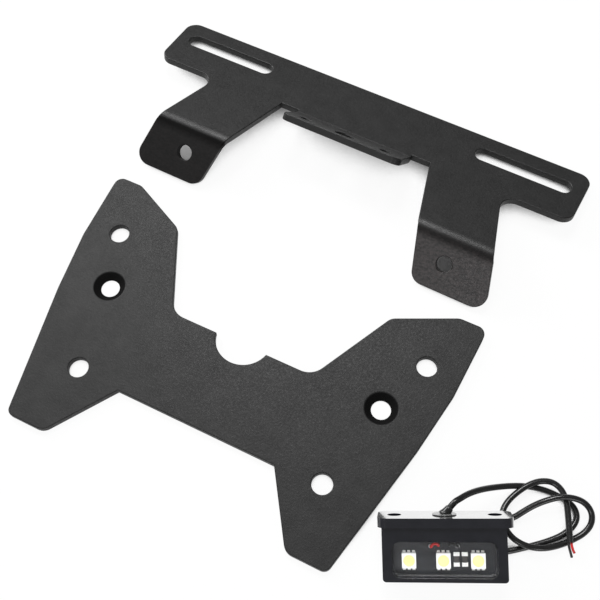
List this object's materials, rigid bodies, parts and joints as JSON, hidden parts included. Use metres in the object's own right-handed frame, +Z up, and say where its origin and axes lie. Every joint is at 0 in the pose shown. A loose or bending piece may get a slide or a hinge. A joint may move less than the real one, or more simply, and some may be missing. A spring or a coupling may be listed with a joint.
{
  "type": "motorcycle fender eliminator",
  "caption": "Motorcycle fender eliminator laid out as a kit: flat base plate, folded licence plate bracket with slots, and a small diode light with its cord.",
  "frame": {"origin": "midway between the base plate's two countersunk holes, on the plate's underside", "axes": "+X to the right along the line of the two countersunk holes, +Y away from the viewer towards the licence plate bracket, +Z up from the surface that the kit lies on"},
  "size_m": [0.2429, 0.1996, 0.0242],
  "materials": {
    "plate_powder": "matt textured powder coat",
    "bracket_powder": "matt textured powder coat",
    "housing_black": "smooth moulded black",
    "lens_clear": "clear smooth plastic cover",
    "board_black": "dark solder mask",
    "led_white": "white ceramic package",
    "led_gel": "pale yellow gel",
    "contact_tin": "tinned contacts",
    "resistor_dark": "dark ceramic chip",
    "collar_black": "soft moulded black",
    "cord_black": "glossy black sheath",
    "core_red": "red insulation",
    "core_black": "black insulation"
  },
  "bodies": {
    "root": {"base_plate": "plate_powder", "plate_bracket": "bracket_powder", "lamp_housing": "housing_black", "lamp_lens": "lens_clear", "circuit_board": "board_black", "black_core": "core_black", "black_lead": "core_black", "cord_collar": "collar_black", "cord_sheath": "cord_black", "led_contacts_left": "contact_tin", "led_contacts_middle": "contact_tin", "led_contacts_right": "contact_tin", "led_gel_left": "led_gel", "led_gel_middle": "led_gel", "led_gel_right": "led_gel", "led_left": "led_white", "led_middle": "led_white", "led_right": "led_white", "red_core": "core_red", "red_lead": "core_red", "resistor_caps_left": "contact_tin", "resistor_caps_right": "contact_tin", "resistor_left": "resistor_dark", "resistor_right": "resistor_dark", "solder_left": "contact_tin", "solder_right": "contact_tin"}
  },
  "joints": []
}
